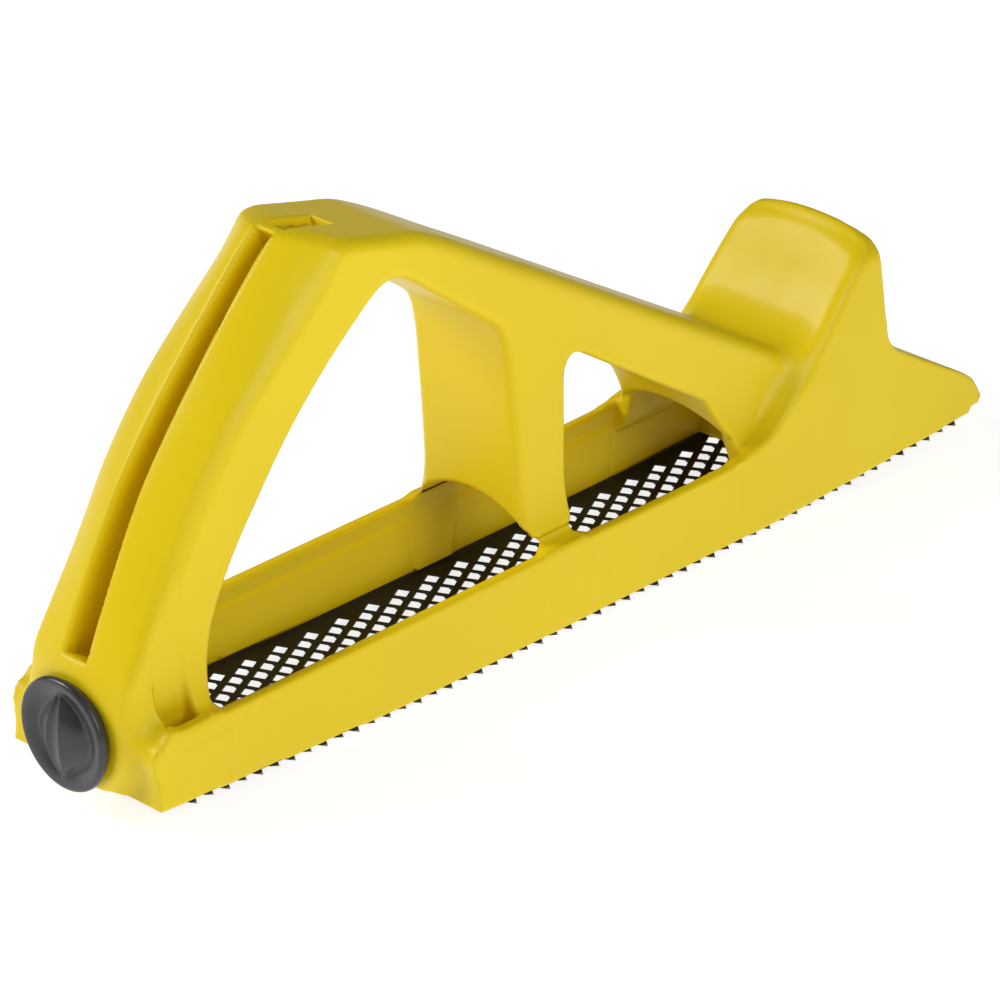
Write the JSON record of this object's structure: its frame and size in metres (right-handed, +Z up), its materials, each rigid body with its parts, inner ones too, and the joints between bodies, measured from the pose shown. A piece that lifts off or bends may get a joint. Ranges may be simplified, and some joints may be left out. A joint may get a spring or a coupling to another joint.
{
  "type": "bench plane",
  "caption": "Rasp-blade bench plane: moulded body with closed rear grip and front horn, over a convex perforated toothed blade that a rear knob tensions.",
  "frame": {"origin": "middle of the whole plane's length and width, at the lowest tooth tips", "axes": "+X forward from the knob to the nose, +Y to the user's left, +Z up from the sole"},
  "size_m": [0.269, 0.0458, 0.111],
  "materials": {
    "body": "fine satin grain",
    "blade": "hardened black",
    "knob": "semi-gloss",
    "hardware": "zinc plated"
  },
  "bodies": {
    "plane": {"body": "body", "blade": "blade", "thrust_washer": "hardware", "nose_hook": "hardware", "nose_screw": "hardware"},
    "knob": {"knob": "knob", "tension_screw": "hardware", "screw_clip": "hardware"},
    "carriage": {"tension_hook": "hardware", "tension_nut": "hardware"}
  },
  "joints": [
    {"name": "knob_turn", "type": "hinge", "parent": "plane", "child": "knob", "pos_m": [-0.12355, 0, 0.018], "axis": [-1, 0, 0], "range_deg": [0, 1080]},
    {"name": "hook_slide", "type": "slide", "parent": "plane", "child": "carriage", "axis": [1, 0, 0], "range_m": [0, 0.003]}
  ],
  "couplings": [
    {"joint": "hook_slide", "follows": "knob_turn", "m_per_rad": 0.00015915}
  ]
}
